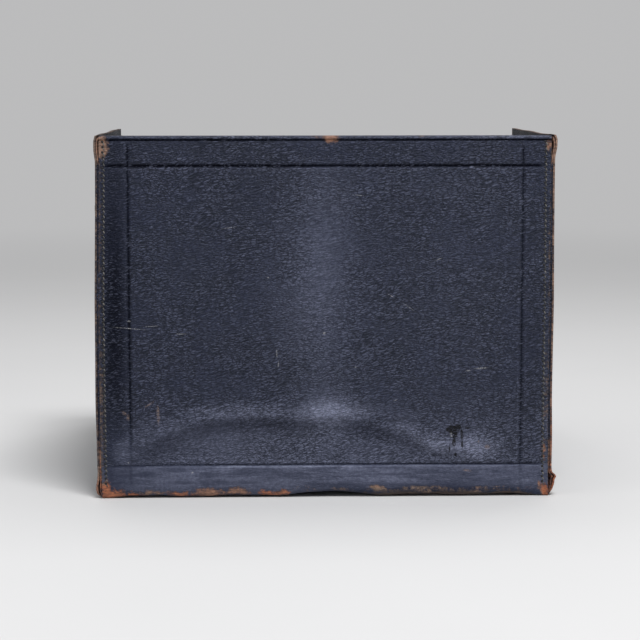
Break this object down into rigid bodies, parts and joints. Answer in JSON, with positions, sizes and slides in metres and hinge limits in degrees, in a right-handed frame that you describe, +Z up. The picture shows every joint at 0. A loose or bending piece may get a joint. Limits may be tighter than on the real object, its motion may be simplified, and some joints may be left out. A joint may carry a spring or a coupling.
{
  "type": "leather camera case",
  "caption": "Box-shaped stitched leather case, open, with a fold-over lid, end hasps and spring catches, a carrying handle, strap rings and a divided, lined inside.",
  "frame": {"origin": "centre of the underside, between the two bottom folds", "axes": "+Z up out of the open top, -Y out of the plain long wall opposite the lid's hinge, +X to the right when that wall is faced"},
  "size_m": [0.312, 0.3051, 0.226],
  "materials": {
    "hide": "pebbled, worn, half gloss",
    "lining": "brushed cloth",
    "board": "raw",
    "chestnut": "smooth, worn",
    "metal": "tarnished nickel over brass",
    "steel": "dull"
  },
  "bodies": {
    "case_body": {"outer_hide": "hide", "left_side_panel": "hide", "right_side_panel": "hide", "front_board": "board", "back_board": "board", "bottom_board": "board", "front_lining": "lining", "back_lining": "lining", "bottom_lining": "lining", "left_lining": "lining", "right_lining": "lining", "partition_panel": "lining", "partition_binding": "chestnut", "front_partition_rail": "board", "back_partition_rail": "board", "left_catch_body": "metal", "right_catch_body": "metal", "left_catch_spring": "steel", "right_catch_spring": "steel", "left_ring_chape": "hide", "right_ring_chape": "hide"},
    "hinge_strip": {"hinge_leather": "hide", "hinge_lining": "lining"},
    "lid": {"lid_leather": "hide", "lid_board": "board", "lid_lining": "lining", "left_handle_staple": "metal", "right_handle_staple": "metal", "left_hasp_bracket": "metal", "right_hasp_bracket": "metal", "left_hasp_pin": "steel", "right_hasp_pin": "steel"},
    "handle": {"handle_grip": "hide", "left_handle_ring": "metal", "right_handle_ring": "metal"},
    "left_hasp": {"left_hasp": "metal"},
    "right_hasp": {"right_hasp": "metal"},
    "left_button": {"left_catch_button": "metal"},
    "right_button": {"right_catch_button": "metal"},
    "left_ring": {"left_strap_ring": "metal"},
    "right_ring": {"right_strap_ring": "metal"}
  },
  "joints": [
    {"name": "strip_fold", "type": "hinge", "parent": "case_body", "child": "hinge_strip", "pos_m": [0, 0.10015, 0.209], "axis": [1, 0, 0], "range_deg": [0, 180]},
    {"name": "lid_fold", "type": "hinge", "parent": "hinge_strip", "child": "lid", "pos_m": [0, 0.1015, 0.1861], "axis": [1, 0, 0], "range_deg": [0, 66]},
    {"name": "handle_swing", "type": "hinge", "parent": "lid", "child": "handle", "pos_m": [0, 0.1362, 0.08919], "axis": [1, 0, 0], "range_deg": [-136, 3]},
    {"name": "left_hasp_swing", "type": "hinge", "parent": "lid", "child": "left_hasp", "pos_m": [-0.1503, 0.16931, 0.07747], "axis": [0, 0.4057, -0.914], "range_deg": [0, 180]},
    {"name": "right_hasp_swing", "type": "hinge", "parent": "lid", "child": "right_hasp", "pos_m": [0.1503, 0.16931, 0.07747], "axis": [0, -0.4057, 0.914], "range_deg": [0, 180]},
    {"name": "left_button_slide", "type": "slide", "parent": "case_body", "child": "left_button", "axis": [0, 0, -1], "range_m": [0, 0.004], "stiffness_N_per_m": 400, "springref_m": -0.004, "deforming": ["left_catch_spring"]},
    {"name": "right_button_slide", "type": "slide", "parent": "case_body", "child": "right_button", "axis": [0, 0, -1], "range_m": [0, 0.004], "stiffness_N_per_m": 400, "springref_m": -0.004, "deforming": ["right_catch_spring"]},
    {"name": "left_ring_swing", "type": "hinge", "parent": "case_body", "child": "left_ring", "pos_m": [-0.1471, 0.008, 0.158], "axis": [0, 1, 0], "range_deg": [0, 170]},
    {"name": "right_ring_swing", "type": "hinge", "parent": "case_body", "child": "right_ring", "pos_m": [0.1471, 0.008, 0.158], "axis": [0, -1, 0], "range_deg": [0, 170]}
  ]
}
